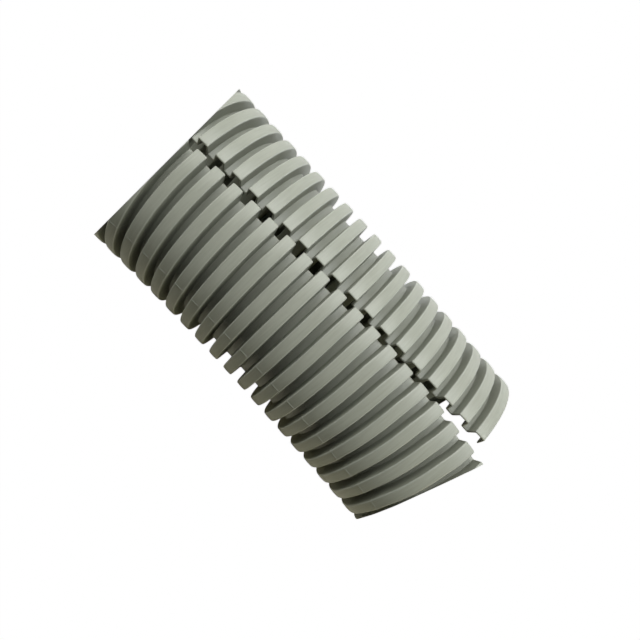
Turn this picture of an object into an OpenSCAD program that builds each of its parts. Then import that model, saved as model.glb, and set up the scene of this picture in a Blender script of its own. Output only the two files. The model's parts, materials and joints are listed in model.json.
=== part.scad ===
// Split loom tubing: a short cut of ribbed plastic conduit, slit from end to end so that wires can be laid in
// from the side. It lies along X on its ribs, with the slit near the top, turned to where it lies in balance.
// The square end, where the slit gapes, is at +X, with a trim that takes one side of it back. The other end is cut
// on a slant that leaves the underside longest. Millimetres, +Z up, with the origin on the floor under the middle
// of the piece.

/* [Tube] */
// Inside diameter, measured at the grooves
bore_d = 50; // [24:0.5:80]
// Thickness of the wall
wall_t = 0.7; // [0.4:0.05:0.85]

/* [Ribs] */
// Ribs along the longest side
rib_count = 21; // [8:1:36]
// Distance from one rib to the next
rib_pitch = 6; // [5.4:0.1:9]
// Height of a rib above the grooves beside it
rib_h = 3.8; // [2.5:0.1:5]
// Width of a rib's crest, corner to corner
crest_w = 3.3; // [2.4:0.1:3.6]
// How far each side of a rib slopes outwards on its way down
side_run = 0.6; // [0.2:0.05:1]
// Outside radius of the corners of a crest
crest_r = 0.45; // [0.1:0.05:1]
// Inside radius of the corners of a crest
crest_in_r = 0.15; // [0.05:0.05:0.5]
// Outside radius of the corners of a groove
groove_r = 0.3; // [0.1:0.05:0.8]

/* [Slit] */
// Width of the slit along most of the piece
slit_gap = 1.6; // [0.5:0.1:6]
// Width of the slit where it gapes at the square end
mouth_gap = 4; // [0.5:0.1:10]
// Length over which the slit opens to its mouth
mouth_l = 27; // [5:1:40]

/* [Slant cut] */
// Slant of the far end, from a square cut
slant = 19; // [0:0.5:32]
// Angle round the tube from the slit back to the shortest line of the piece
slant_turn = 28; // [0:0.5:60]

/* [Trim] */
// Slant of the trim on the square end, from a square cut
trim = 22; // [0:0.5:30]
// Length that the trim takes off where it cuts deepest
trim_l = 3; // [1:0.1:5]
// Angle round the tube from the slit to where the trim cuts deepest
trim_turn = 60; // [55:1:120]

/* [Lie] */
// Lean of the slit from straight up, towards +Y, as the piece lies in balance
slit_lean = 24.5; // [-30:0.5:30]

/* [Hidden] */
$fn = 120;

// Straight steps in each rounded corner of the wall
corner_steps = 3;
// What the cutters reach past the wall
clear = 1;

// Radii of the wall's outside, in a groove and on a crest
groove_ro = bore_d / 2 + wall_t;
crest_ro = groove_ro + rib_h;

// Length of the longest side, from the middle of a groove to the far corner of the last crest
length = (rib_count - 0.5) * rib_pitch + crest_w / 2;
end_x = length / 2;

// Lean of a rib's side from square, and what its corners' roundings take from the flats
side_lean = atan(side_run / rib_h);
flat_loss = tan((90 - side_lean) / 2);

// Centres of the grooves' roundings: along the tube from the middle of the rib, and out from the axis
groove_cx = crest_w / 2 + side_run + groove_r * flat_loss;
groove_cr = groove_ro + groove_r;

// Points of an arc, as [distance from the axis, place along the tube]
function arc(x, r, radius, from, to) =
    [for (i = [0:corner_steps])
        let (a = from + (to - from) * i / corner_steps)
        [r + radius * sin(a), x + radius * cos(a)]];

// Wall line of one rib centred at x, inset from the outside of the wall, with rounded corners on its crest
function rib_line(x, inset, corner_r) =
    let (
        crest_cx = crest_w / 2 - (inset + corner_r) * flat_loss,
        crest_cr = crest_ro - inset - corner_r
    )
    concat(
        arc(x - groove_cx, groove_cr, groove_r + inset, -90, -side_lean),
        arc(x - crest_cx, crest_cr, corner_r, 180 - side_lean, 90),
        arc(x + crest_cx, crest_cr, corner_r, 90, side_lean),
        arc(x + groove_cx, groove_cr, groove_r + inset, 180 + side_lean, 270)
    );

// Wall line of the whole tube, from the far end to the square end
function wall_line(inset, corner_r) =
    concat(
        [[groove_ro - inset, end_x - rib_count * rib_pitch]],
        [for (i = [rib_count:-1:1]) each rib_line(end_x - (i - 0.5) * rib_pitch, inset, corner_r)],
        [[groove_ro - inset, end_x]]
    );

function backwards(points) = [for (i = [len(points) - 1:-1:0]) points[i]];

// Ribbed tube along X, whole and square at both ends
module ribbed_tube() {
    rotate([0, 90, 0])
        rotate_extrude()
            polygon(concat(wall_line(0, crest_r), backwards(wall_line(wall_t, crest_in_r))));
}

// Blade's path through the top of the wall, from below the far end to past the mouth
module slit_cutter() {
    edge = [
        [-end_x - rib_pitch, slit_gap / 2],
        [end_x - mouth_l, slit_gap / 2],
        [end_x, mouth_gap / 2],
        [end_x + clear, mouth_gap / 2]
    ];
    other_edge = [for (p = backwards(edge)) [p.x, -p.y]];
    linear_extrude(crest_ro + clear)
        polygon(concat(edge, other_edge));
}

// Everything past the slanted cut, which meets the underside at the last crest's far corner
module slant_cutter() {
    size = 6 * crest_ro;
    rotate([slant_turn, 0, 0])
        translate([-end_x, 0, -crest_ro])
            rotate([0, slant, 0])
                translate([-size, -size / 2, -size / 2])
                    cube(size);
}

// Everything past the trim of the square end
module trim_cutter() {
    size = 6 * crest_ro;
    rotate([trim_turn, 0, 0])
        translate([end_x - trim_l, 0, crest_ro])
            rotate([0, -trim, 0])
                translate([0, -size / 2, -size / 2])
                    cube(size);
}

module loom_tube() {
    color([0.62, 0.63, 0.6])
        translate([0, 0, crest_ro])
            rotate([-slit_lean, 0, 0])
                difference() {
                    ribbed_tube();
                    slit_cutter();
                    slant_cutter();
                    trim_cutter();
                }
}

loom_tube();
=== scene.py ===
# Split loom tubing as it looks: a short cut of ribbed grey conduit, slit from end to end, on a pale floor.
# The wall is one closed shell. It is laid out flat first, as distance along the tube, way round it and
# radius, and its near end is cut there. Then it is rolled up round the X axis, with the small stagger, twist
# and bow that the slit lets the real piece take. Last, its near end is trimmed and its far end is cut on the
# slant.
# Left and right are as seen from the near end, which is at +X, with the slit up: right is the +Y side.
# Ways round are shares from the right lip, which is 0, down the right flank, under and up to the left lip, 1.
# Lengths are in millimetres and angles in degrees until a mesh or an object is made, which is in metres.
import json
import math

import bmesh
import bpy
import numpy as np
from mathutils import Matrix, Vector


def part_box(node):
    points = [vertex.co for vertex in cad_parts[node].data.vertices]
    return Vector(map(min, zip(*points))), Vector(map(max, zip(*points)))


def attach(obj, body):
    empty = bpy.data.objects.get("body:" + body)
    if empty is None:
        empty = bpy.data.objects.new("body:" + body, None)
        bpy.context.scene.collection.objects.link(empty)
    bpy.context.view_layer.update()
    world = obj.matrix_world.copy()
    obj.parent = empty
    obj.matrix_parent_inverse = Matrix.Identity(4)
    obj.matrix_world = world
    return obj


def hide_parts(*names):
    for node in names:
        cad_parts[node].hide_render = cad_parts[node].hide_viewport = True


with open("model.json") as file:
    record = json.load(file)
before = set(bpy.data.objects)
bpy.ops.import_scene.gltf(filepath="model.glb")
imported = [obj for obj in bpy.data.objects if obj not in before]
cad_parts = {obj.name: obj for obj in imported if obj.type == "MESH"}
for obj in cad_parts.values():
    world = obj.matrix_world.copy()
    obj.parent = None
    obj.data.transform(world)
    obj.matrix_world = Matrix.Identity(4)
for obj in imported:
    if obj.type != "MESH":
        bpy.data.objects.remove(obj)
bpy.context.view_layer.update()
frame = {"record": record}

MM = 0.001

# Tube: its axis, outside and ends are the CAD model's
mounts = {mount["name"]: mount for mount in frame["record"]["mounts"]}
axis_z = mounts["bore"]["pos_m"][2] / MM
crest_r = mounts["outside"]["dims"]["r_mm"]
far_x, near_x = (corner.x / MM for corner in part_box("loom_tube"))
wall = 0.6

# Ribs: pitch, height and crest are the CAD model's, and the sides are steeper
pitch = 6.0
rib_h = 3.8
crest_w = 3.3
side_run = 0.3
crest_crown = 6.0
crest_round = 0.45
crest_round_inside = 0.15
groove_round = 0.3
groove_round_inside = 0.5
groove_r = crest_r - rib_h

# Near end: a cut given in pitches past the last rib's middle, by the way round, then a trim of the left flank
near_round = [0.0, 0.33, 0.4, 0.6, 0.95, 0.975, 1.0]
near_reach = [0.29, 0.25, 0.32, 0.85, 0.80, 0.75, 0.97]
trim_axis_x = 71.13
trim_lean = 21.8
trim_turn = 61.2

# Far end: a slant cut that leaves the underside longest
slant_axis_x = -52.88
slant_lean = 19.2
slant_turn = 27.7

# Slit: an even gap that opens to a mouth at the near end and widens again towards the far end
slit_lean = 24.5
slit_gap = 1.55
mouth_gap = 2.6
mouth_start_x = 15.1
mouth_l = 45.0
mouth_curve = 2.2
mouth_left_share = 0.84
tail_start_x = -7.9
tail_gap = 1.1
tail_turn = -1.26
tail_l = 31.0
tail_curve = 1.4
lip_bevel = 0.18

# How far the left lip is set back in the grooves, along the tube
setback_x = [-42.0, -24.0, -8.0, 8.0, 30.0, 45.0]
setback_left = [-0.2, 0.8, 1.1, 0.9, -0.2, -0.45]

# Stagger: the ribs have slipped forwards at the right lip and back at the left one, and their rings are
# tilted. Stretch and twist start from the place that stays still.
still_x = 4.425
stagger = 1.23
stagger_start = 0.165
stagger_span = 0.56
ring_tilt = 0.94

# Stretch along the tube, by the way round
stretch_round = [0.0, 0.165, 0.726, 1.0]
stretch_share = [-0.016, 0.010, -0.012, 0.017]

# Two small slips of the ribs on the left flank: an even one, and one that grows towards the near end
drift = 0.57
drift_round = [0.5, 0.726, 0.95]
drift_weight = [0, 1, 0]
pull = -1.22
pull_round = [0.64, 0.8, 0.85, 0.97]
pull_weight = [0, 1, 1, 0]
pull_start_x = 22.1
pull_l = 25.4
pull_curve = 1.5

# Slip close to the lips by the mouth: the left lip goes forwards, and the right lip's ribs lean on their near
# sides. Phases are in pitches from a rib's middle.
lip_shift = 0.45
lip_shift_share = 0.05
lip_shift_start_x = 12.0
lip_shift_l = 18.0
lip_lean = 0.5
lip_lean_phase = [0.25, 0.4, 0.5]
lip_lean_weight = [1, 1, 0]

# Twist, bow and sway of the whole piece, and the far end's spread
twist_per_mm = 0.033
bow = 1.06
bow_x = 5.1
bow_half_l = 51.8
bow_curve = 1.5
bow_offset = 1 / 3
sway = 0.004
far_spread = 0.02

# Mould parting lines, as angles round the tube from the slit towards the left flank
parting_turns = [60.7, 240.7]
parting_h = 0.16
parting_w = 0.36
parting_foot = 0.15

# How finely the shell is divided, also next to the lips, the room that a parting line's columns need, and how
# near a cut's plane counts as on it
columns_round = 112
crest_steps = 3
groove_steps = 2
lip_column_w = 0.3
parting_room = 0.4
on_plane = 1e-7

# Laid-out shell: its width is once round the crests
flat_w = 2 * math.pi * crest_r

# Material slots of the piece
MOULDED = 0
CUT = 1

# Plastic: clouds, and streaks that run round the tube, with their scales for each metre
cloud_scale = 55.0
cloud_detail = 5.0
streak_scale = (2600.0, 160.0, 160.0)
streak_detail = 3.0
streak_share = 0.6
tone_start = 0.3
tone_stop = 0.7
smoother = 0.07
rougher = 0.09
streak_bump = 0.12
streak_h = 0.08

# Stage, in metres: the floor, and the unseen sheets on it that throw light back at the piece
floor_half = 3.0
bounce_half = 1.5
bounce_z = 0.00005
stage_roughness = 0.9
backdrop_grey = (0.8, 0.8, 0.8, 1)

# Camera: it looks down on the tube, square to its axis. Its foot is the pixel that it looks straight at
camera_distance = 166.7
camera_lean = 5.07
camera_lens = 31.6
camera_clip_m = 0.01
sensor_w = 36.0
image_px = 640
foot_px = (298.9, 302.1)
tube_slope = 47.85


def arc(x, r, radius, start, stop, steps):
    """Points of a round corner of the wall, each as distance along the tube and radius."""
    turns = np.radians(np.linspace(start, stop, steps + 1))
    return [(x + radius * math.cos(turn), r + radius * math.sin(turn)) for turn in turns]


def rib_line(x, inset, crest_radius, groove_radius):
    """One rib from mid groove to just short of the next mid groove, inset from the outside of the wall."""
    side_lean = math.degrees(math.atan(side_run / rib_h))
    flat_loss = math.tan(math.radians(90 - side_lean) / 2)
    corner_x = crest_w / 2 - inset * flat_loss
    crest_x = corner_x - crest_radius * flat_loss
    groove_x = corner_x + side_run + groove_radius * flat_loss
    crown = math.radians(crest_crown)
    crown_radius = crest_radius + crest_x / math.sin(crown)
    high = crest_r - inset - crown_radius + (crown_radius - crest_radius) * math.cos(crown)
    low = groove_r - inset + groove_radius
    return (
        [(x - pitch / 2, groove_r - inset)]
        + arc(x - groove_x, low, groove_radius, -90, -side_lean, groove_steps)
        + arc(x - crest_x, high, crest_radius, 180 - side_lean, 90 + crest_crown, crest_steps)
        + [(x, crest_r - inset)]
        + arc(x + crest_x, high, crest_radius, 90 - crest_crown, side_lean, crest_steps)
        + arc(x + groove_x, low, groove_radius, 180 + side_lean, 270, groove_steps)
    )


def rib_wear_and_painted_light():
    """Wear, painted highlight and painted shade at each point of a rib line: paler crest corners, partly
    rubbed and partly painted highlight, and sides darkened with painted shade.
    """
    plain = (0, 0)
    groove = [(0, k / groove_steps) for k in range(groove_steps + 1)]
    corner = [(0, 1)] + [(1, 0)] * (crest_steps - 1) + [plain]
    half = groove + corner
    return [plain] + half + [plain] + half[::-1]


def wall_line(inset, crest_radius, groove_radius):
    """The wall's line from beyond the far end to beyond the near end."""
    last_x = near_x + pitch / 2
    rib_total = math.ceil((last_x - far_x) / pitch) + 2
    points = []
    for i in reversed(range(rib_total)):
        points += rib_line(last_x - i * pitch, inset, crest_radius, groove_radius)
    return np.array(points)


def column_shares():
    """Ways round of the shell's columns, closer together at lips and parting lines."""
    shares = set(np.linspace(0, 1, columns_round + 1))
    lip_step = lip_column_w / flat_w
    shares |= {lip_step, 1 - lip_step}
    for turn in parting_turns:
        middle = 1 - turn / 360
        half = parting_w / 2 / flat_w
        foot = half + parting_foot / flat_w
        shares = {share for share in shares if abs(share - middle) > parting_room / columns_round}
        shares |= {middle - foot, middle - half, middle, middle + half, middle + foot}
    return np.array(sorted(shares))


def flat_shell():
    """The laid-out shell as a mesh: x along the tube, y round it and z out from the axis.
    Each ring of points goes along the outside, over the left lip, back inside and over the right lip."""
    outside = wall_line(0, crest_round, groove_round)
    inside = wall_line(wall, crest_round_inside, groove_round_inside)
    shares = column_shares()
    columns = len(shares)
    bevel_share = lip_bevel / flat_w
    bevel_depth = lip_bevel / wall
    lip_depths = [bevel_depth, 1 - bevel_depth]
    ring_share = np.concatenate([shares, [1 + bevel_share] * 2, shares[::-1], [-bevel_share] * 2])
    ring_depth = np.concatenate([0 * shares, lip_depths, 0 * shares + 1, lip_depths[::-1]])
    lip_faces = {columns, 2 * columns + 2}

    rise = np.zeros(len(ring_share))
    for turn in parting_turns:
        rise[np.argmin(np.abs(shares - (1 - turn / 360)))] = parting_h

    mesh = bmesh.new()
    wear_and_highlight_layer = mesh.verts.layers.float.new("wear_and_highlight")
    painted_shade_layer = mesh.verts.layers.float.new("painted_shade")
    wear_and_painted_light = rib_wear_and_painted_light()
    rings = []
    for i, (out_point, in_point) in enumerate(zip(outside, inside)):
        along = out_point[0] + (in_point[0] - out_point[0]) * ring_depth
        radius = out_point[1] + (in_point[1] - out_point[1]) * ring_depth + rise
        ring = [mesh.verts.new(point) for point in zip(along, ring_share * flat_w, radius)]
        wear_and_highlight, painted_shade = wear_and_painted_light[i % len(wear_and_painted_light)]
        # Paler parting ridges and crest corners are partly rubbed wear and partly painted highlight; painted
        # shade darkens the rib sides and the whole inside.
        for vert, depth, ridge in zip(ring, ring_depth, rise):
            vert[wear_and_highlight_layer] = 1 if ridge else wear_and_highlight * (1 - depth)
            vert[painted_shade_layer] = 0 if ridge else max(painted_shade, depth)
        rings.append(ring)

    for ring, after in zip(rings, rings[1:]):
        for k in range(len(ring)):
            n = (k + 1) % len(ring)
            face = mesh.faces.new((ring[k], ring[n], after[n], after[k]))
            face.material_index = CUT if k in lip_faces else MOULDED
            face.smooth = True
    return mesh


def cut_and_close(mesh, point, normal):
    """Cuts away what is past the plane and closes the cut wall with faces of the cut material."""
    everything = mesh.verts[:] + mesh.edges[:] + mesh.faces[:]
    cut = bmesh.ops.bisect_plane(
        mesh, geom=everything, dist=on_plane, plane_co=point, plane_no=normal, clear_outer=True
    )
    rim = [item for item in cut["geom_cut"] if isinstance(item, bmesh.types.BMEdge)]
    filled = bmesh.ops.triangle_fill(mesh, use_beauty=True, use_dissolve=False, edges=rim, normal=normal)
    for face in filled["geom"]:
        if isinstance(face, bmesh.types.BMFace):
            face.material_index = CUT
            face.smooth = False
    for edge in rim:
        edge.smooth = False


def leaning_plane(axis_x, facing, lean, turn):
    """A cut's plane in metres, as a point on the tube's axis and a normal that faces +X or -X and leans
    outwards at an angle round the tube, from the slit towards the left flank."""
    aside = math.radians(slit_lean - turn)
    tilt = math.radians(lean)
    outwards = Vector((0, math.sin(aside), math.cos(aside)))
    normal = Vector((facing, 0, 0)) * math.cos(tilt) + outwards * math.sin(tilt)
    return Vector((axis_x, 0, axis_z)) * MM, normal


def smooth_step(value):
    """0 below 0, 1 above 1, with a soft start and end."""
    value = np.clip(value, 0, 1)
    return value * value * (3 - 2 * value)


def beyond(place, start, length):
    """How many lengths a place is past a start, and 0 before it."""
    return np.clip((place - start) / length, 0, None)


def turned(along, share, radius, depth):
    """Angles round the axis, in radians from straight up, with the slit's gap left open and the twist."""
    mouth = mouth_gap * beyond(along, mouth_start_x, mouth_l) ** mouth_curve
    tail = beyond(-along, -tail_start_x, tail_l) ** tail_curve
    steady = (slit_gap + tail_gap * tail) / 2
    right = steady + (1 - mouth_left_share) * mouth
    left = steady + mouth_left_share * mouth + depth * np.interp(along, setback_x, setback_left)
    from_slit = (right + share * (2 * math.pi * radius - right - left)) / radius
    twist = slit_lean + twist_per_mm * (along - still_x) + tail_turn * tail
    return from_slit + np.radians(twist)


def slipped(along, share, depth):
    """How far the ribs have slipped along the tube."""
    shift = stagger * (1 - 2 * smooth_step((share - stagger_start) / stagger_span))
    shift += drift * np.interp(share, drift_round, drift_weight)
    near_pull = beyond(along, pull_start_x, pull_l) ** pull_curve
    shift += pull * near_pull * np.interp(share, pull_round, pull_weight)

    at_left_lip = smooth_step((share - 1 + lip_shift_share) / lip_shift_share)
    at_right_lip = smooth_step(1 - share / lip_shift_share)
    near_part = np.clip((along - lip_shift_start_x) / lip_shift_l, 0, 1)
    past_rib = (along - near_x) / pitch + 0.5
    lean = lip_lean * depth * np.interp(past_rib % 1, lip_lean_phase, lip_lean_weight)
    return shift + (lip_shift * at_left_lip + lean * at_right_lip) * near_part


def rolled(flat):
    """Where laid-out points (along, round, out) lie on the rolled tube, in millimetres in the row frame."""
    along, radius = flat[:, 0], flat[:, 2]
    share = flat[:, 1] / flat_w
    depth = np.clip((crest_r - radius) / rib_h, 0, None)
    turn = turned(along, share, radius, depth)
    shift = slipped(along, share, depth)
    stretch = np.interp(share, stretch_round, stretch_share)
    y = radius * np.sin(turn)
    x = still_x + (along - still_x) * (1 + stretch) + shift - math.tan(math.radians(ring_tilt)) * y
    from_bow = (along - bow_x) / bow_half_l
    aside = bow * (bow_offset - np.abs(from_bow) ** bow_curve) + sway * (along - bow_x)
    spread = 1 + far_spread * np.clip(-from_bow, 0, None) ** 2
    return np.stack([x, y * spread + aside, axis_z + radius * np.cos(turn)], axis=1)


def noise(tree, place, scale, detail):
    """A noise read at a place. Returns the output that gives its strength."""
    texture = tree.nodes.new("ShaderNodeTexNoise")
    texture.inputs["Scale"].default_value = scale
    texture.inputs["Detail"].default_value = detail
    tree.links.new(place, texture.inputs["Vector"])
    return texture.outputs["Fac"]


def tinted(tree, colour, layer, tint):
    """A colour that goes over to a tint where a layer of the mesh says so."""
    amount = tree.nodes.new("ShaderNodeAttribute")
    amount.attribute_name = layer
    mix = tree.nodes.new("ShaderNodeMix")
    mix.data_type = "RGBA"
    mix.inputs["B"].default_value = (*tint, 1)
    tree.links.new(amount.outputs["Fac"], mix.inputs["Factor"])
    tree.links.new(colour, mix.inputs["A"])
    return mix.outputs["Result"]


def plastic_material(name, base, dark, rubbed_and_highlit, painted_shade_tint, roughness):
    """Satin grey polyethylene: clouds, faint streaks round the tube, paler edges that are rubbed wear and
    painted highlight, painted shade on the rib sides and inside, and uneven gloss.
    """
    material = bpy.data.materials.new(name)
    material.use_nodes = True
    tree = material.node_tree
    nodes, links = tree.nodes, tree.links
    shader = nodes["Principled BSDF"]

    place = nodes.new("ShaderNodeTexCoord").outputs["Object"]
    cloud = noise(tree, place, cloud_scale, cloud_detail)
    stretch = nodes.new("ShaderNodeMapping")
    stretch.inputs["Scale"].default_value = streak_scale
    links.new(place, stretch.inputs["Vector"])
    streak = noise(tree, stretch.outputs["Vector"], 1.0, streak_detail)

    uneven = nodes.new("ShaderNodeMix")
    uneven.inputs["Factor"].default_value = streak_share
    links.new(cloud, uneven.inputs["A"])
    links.new(streak, uneven.inputs["B"])
    tone = nodes.new("ShaderNodeValToRGB")
    for element, position, colour in zip(tone.color_ramp.elements, (tone_start, tone_stop), (dark, base)):
        element.position = position
        element.color = (*colour, 1)
    links.new(uneven.outputs["Result"], tone.inputs["Fac"])
    # Paler crest corners and parting ridges: rubbed wear and painted highlight. Then painted shade on the rib
    # sides and the inside.
    worn_and_highlit = tinted(tree, tone.outputs["Color"], "wear_and_highlight", rubbed_and_highlit)
    links.new(tinted(tree, worn_and_highlit, "painted_shade", painted_shade_tint), shader.inputs["Base Color"])

    gloss = nodes.new("ShaderNodeMapRange")
    gloss.inputs["To Min"].default_value = roughness - smoother
    gloss.inputs["To Max"].default_value = roughness + rougher
    links.new(cloud, gloss.inputs["Value"])
    links.new(gloss.outputs["Result"], shader.inputs["Roughness"])

    bump = nodes.new("ShaderNodeBump")
    bump.inputs["Strength"].default_value = streak_bump
    bump.inputs["Distance"].default_value = streak_h * MM
    links.new(streak, bump.inputs["Height"])
    links.new(bump.outputs["Normal"], shader.inputs["Normal"])
    return material


def near_cut_past_rib(round_place):
    """How far past the last rib's middle the near end is cut, at a distance round the laid-out shell."""
    return pitch * np.interp(round_place / flat_w, near_round, near_reach)


def tube_mesh():
    """The rolled shell with both ends cut. For the near cut, the shell is shifted so that it is straight."""
    shell = flat_shell()
    last_rib_x = near_x - pitch / 2
    for vert in shell.verts:
        vert.co.x -= near_cut_past_rib(vert.co.y)
    cut_and_close(shell, Vector((last_rib_x, 0, 0)), Vector((1, 0, 0)))
    for vert in shell.verts:
        vert.co.x += near_cut_past_rib(vert.co.y)

    flat = np.array([vert.co for vert in shell.verts])
    for vert, place in zip(shell.verts, rolled(flat) * MM):
        vert.co = place
    cut_and_close(shell, *leaning_plane(trim_axis_x, 1, trim_lean, trim_turn))
    cut_and_close(shell, *leaning_plane(slant_axis_x, -1, slant_lean, slant_turn))

    bmesh.ops.recalc_face_normals(shell, faces=shell.faces[:])
    mesh = bpy.data.meshes.new("split_loom_tube")
    shell.to_mesh(mesh)
    shell.free()
    return mesh


def loom_tube():
    """The whole piece, with a moulded skin and paler cut faces, partly the cut plastic's colour and partly
    painted light.
    """
    mesh = tube_mesh()
    # The rubbed tint is rubbed wear and painted highlight; the darker tint is painted shade on the rib sides
    # and the inside.
    moulded = plastic_material(
        "grey_plastic",
        base=(0.350, 0.357, 0.308),
        dark=(0.285, 0.292, 0.247),
        rubbed_and_highlit=(0.380, 0.388, 0.345),
        painted_shade_tint=(0.238, 0.245, 0.204),
        roughness=0.34,
    )
    # The cut faces are paler partly as cut plastic and partly as painted light that makes them look lit.
    cut = plastic_material(
        "grey_plastic_cut",
        base=(0.42, 0.425, 0.37),
        dark=(0.34, 0.345, 0.29),
        rubbed_and_highlit=(0.44, 0.445, 0.39),
        painted_shade_tint=(0.33, 0.335, 0.28),
        roughness=0.6,
    )
    mesh.materials.append(moulded)
    mesh.materials.append(cut)
    piece = bpy.data.objects.new("split_loom_tube", mesh)
    bpy.context.collection.objects.link(piece)
    shading = piece.modifiers.new("flat_sides", "WEIGHTED_NORMAL")
    shading.keep_sharp = True
    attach(piece, "root")
    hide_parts("loom_tube")


def level_sheet(name, corner, opposite, height, colour):
    """A level, dull rectangle between two corners, in metres. Returns it and its shader."""
    (x0, y0), (x1, y1) = corner, opposite
    points = [(x0, y0, height), (x1, y0, height), (x1, y1, height), (x0, y1, height)]
    mesh = bpy.data.meshes.new(name)
    mesh.from_pydata(points, [], [(0, 1, 2, 3)])
    material = bpy.data.materials.new(name)
    material.use_nodes = True
    shader = material.node_tree.nodes["Principled BSDF"]
    shader.inputs["Base Color"].default_value = (*colour, 1)
    shader.inputs["Roughness"].default_value = stage_roughness
    mesh.materials.append(material)
    sheet = bpy.data.objects.new(name, mesh)
    bpy.context.collection.objects.link(sheet)
    return sheet, shader


def floor():
    """A plain pale floor that glows, so that it shows white as in the photograph. It lights nothing."""
    corner = (-floor_half, -floor_half)
    opposite = (floor_half, floor_half)
    sheet, shader = level_sheet("pale_floor", corner, opposite, 0, (0.8, 0.8, 0.8))
    shader.inputs["Emission Color"].default_value = (1, 1, 1, 1)
    shader.inputs["Emission Strength"].default_value = 1.0
    sheet.visible_diffuse = False
    sheet.visible_glossy = False


def bounce():
    """What the floor throws back at the piece: unseen sheets, white on the lit side and warm on the other."""
    sides = [
        ("lit_side", bounce_half, (0.85, 0.85, 0.85)),
        ("shaded_side", -bounce_half, (0.78, 0.74, 0.60)),
    ]
    for name, edge_y, colour in sides:
        corner = (-bounce_half, 0)
        opposite = (bounce_half, edge_y)
        sheet, _ = level_sheet(name, corner, opposite, bounce_z, colour)
        sheet.visible_camera = False


def area_light(name, place, length, width, power, colour):
    """A soft oblong light at a place in metres, turned to the middle of the piece."""
    data = bpy.data.lights.new(name, "AREA")
    data.shape = "RECTANGLE"
    data.size = length
    data.size_y = width
    data.energy = power
    data.color = colour
    lamp = bpy.data.objects.new(name, data)
    lamp.location = place
    lamp.visible_camera = False
    target = Vector((0, 0, axis_z * MM))
    lamp.rotation_euler = (target - Vector(place)).to_track_quat("-Z", "Y").to_euler()
    bpy.context.collection.objects.link(lamp)


def lights():
    """A long soft key and a cooler strip on the right, and weak warm fills past the near end and on the left.
    The backdrop is seen by the camera only, and lights nothing."""
    area_light("key", (-0.15, 0.512, 0.578), 2.4, 0.5, 14.1, (0.98, 1, 0.94))
    area_light("strip", (0.09, 0.171, 0.212), 0.6, 0.17, 0.31, (0.74, 0.79, 0.95))
    area_light("near_fill", (0.25, -0.05, 0.15), 0.12, 0.12, 0.09, (1, 0.96, 0.55))
    area_light("left_fill", (0.10, -0.14, 0.025), 0.12, 0.04, 0.006, (1, 0.90, 0.55))
    world = bpy.data.worlds.new("surround")
    world.use_nodes = True
    nodes = world.node_tree.nodes
    backdrop = nodes["Background"]
    backdrop.inputs["Color"].default_value = backdrop_grey
    ray = nodes.new("ShaderNodeLightPath")
    world.node_tree.links.new(ray.outputs["Is Camera Ray"], backdrop.inputs["Strength"])
    bpy.context.scene.world = world


def camera():
    """The photograph's camera: straight over the axis, leaning a little to the right flank's side."""
    lean = math.radians(camera_lean)
    slope = math.radians(tube_slope)
    along = Vector((1, 0, 0))
    back = Vector((0, math.sin(lean), math.cos(lean)))
    across = Vector((0, math.cos(lean), -math.sin(lean)))
    right = along * math.cos(slope) + across * math.sin(slope)
    up = across * math.cos(slope) - along * math.sin(slope)
    place = Vector((still_x, 0, axis_z)) + back * camera_distance

    data = bpy.data.cameras.new("camera")
    data.sensor_width = sensor_w
    data.lens = camera_lens
    data.clip_start = camera_clip_m
    data.shift_x = (image_px / 2 - foot_px[0]) / image_px
    data.shift_y = (foot_px[1] - image_px / 2) / image_px
    view = bpy.data.objects.new("camera", data)
    turn = Matrix((right, up, back)).transposed().to_4x4()
    view.matrix_world = Matrix.Translation(place * MM) @ turn
    bpy.context.collection.objects.link(view)
    bpy.context.scene.camera = view


camera()
loom_tube()
floor()
bounce()
lights()
bpy.context.scene.view_settings.view_transform = "Standard"
